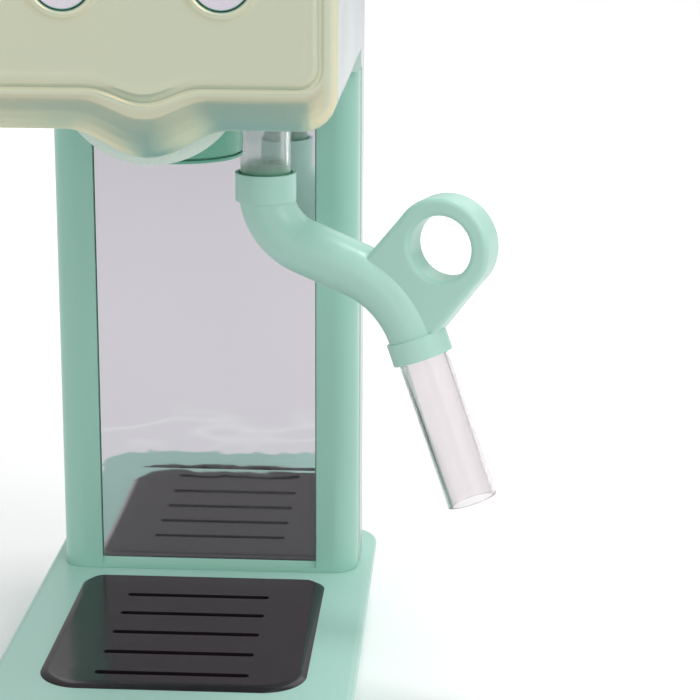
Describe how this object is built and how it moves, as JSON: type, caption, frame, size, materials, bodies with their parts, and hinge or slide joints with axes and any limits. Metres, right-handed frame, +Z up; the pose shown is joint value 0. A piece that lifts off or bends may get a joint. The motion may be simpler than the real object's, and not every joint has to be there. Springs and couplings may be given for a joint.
{
  "type": "toy coffee maker",
  "caption": "Toy espresso machine with pearly head, push buttons, mint column with mirror, slotted drip tray and swivelling steam wand with finger ring.",
  "frame": {"origin": "centre of the base's flat underside", "axes": "+Z up, -Y out of the front where the buttons are, +X to the right seen from the front"},
  "size_m": [0.1487, 0.1731, 0.2588],
  "materials": {
    "base_mint": "gloss",
    "column_mint": "gloss",
    "group_mint": "gloss",
    "wand_mint": "gloss",
    "white_pearl": "satin",
    "cream_pearl": "satin",
    "button_lilac": "gloss",
    "dark_gloss": "gloss",
    "mirror_film": "mirror",
    "clear_tube": "clear",
    "grey_rubber": "matte",
    "dark_plastic": "matte",
    "frame_plastic": "matte",
    "steel": "satin",
    "board_green": "satin",
    "speaker_black": "matte"
  },
  "bodies": {
    "machine": {"base_shell": "base_mint", "base_plate": "base_mint", "rubber_feet": "grey_rubber", "base_screws": "steel", "speaker": "speaker_black", "column": "column_mint", "mirror_panel": "mirror_film", "head_shell": "white_pearl", "front_shell": "cream_pearl", "cup_mat": "base_mint", "inner_frame": "frame_plastic", "left_button_spring": "steel", "right_button_spring": "steel", "switch_board": "board_green", "board_screws": "steel", "group_head": "group_mint", "group_ring": "group_mint", "shower_screen": "steel", "wand_bush": "group_mint", "back_shell": "white_pearl", "back_screws": "steel", "battery_holder": "dark_plastic", "battery_contacts": "steel"},
    "wand": {"wand_upper_tube": "clear_tube", "wand_retainer": "group_mint", "wand_elbow": "wand_mint", "wand_lower_tube": "clear_tube"},
    "left_push": {"left_button": "button_lilac"},
    "right_push": {"right_button": "button_lilac"},
    "tray": {"drip_tray": "dark_gloss"},
    "door": {"battery_door": "white_pearl", "door_screws": "steel"}
  },
  "joints": [
    {"name": "wand_swivel", "type": "hinge", "parent": "machine", "child": "wand", "pos_m": [0.0228, 0.0045, 0.19], "axis": [0, 0, 1], "range_deg": [-110, 50]},
    {"name": "left_button_press", "type": "slide", "parent": "machine", "child": "left_push", "axis": [0, 1, 0], "range_m": [0, 0.0025], "stiffness_N_per_m": 300, "deforming": ["left_button_spring"]},
    {"name": "right_button_press", "type": "slide", "parent": "machine", "child": "right_push", "axis": [0, 1, 0], "range_m": [0, 0.0025], "stiffness_N_per_m": 300, "deforming": ["right_button_spring"]},
    {"name": "tray_lift", "type": "slide", "parent": "machine", "child": "tray", "axis": [0, 0, 1], "range_m": [0, 0.04]},
    {"name": "door_off", "type": "slide", "parent": "machine", "child": "door", "axis": [0, 1, 0], "range_m": [0, 0.02]}
  ]
}
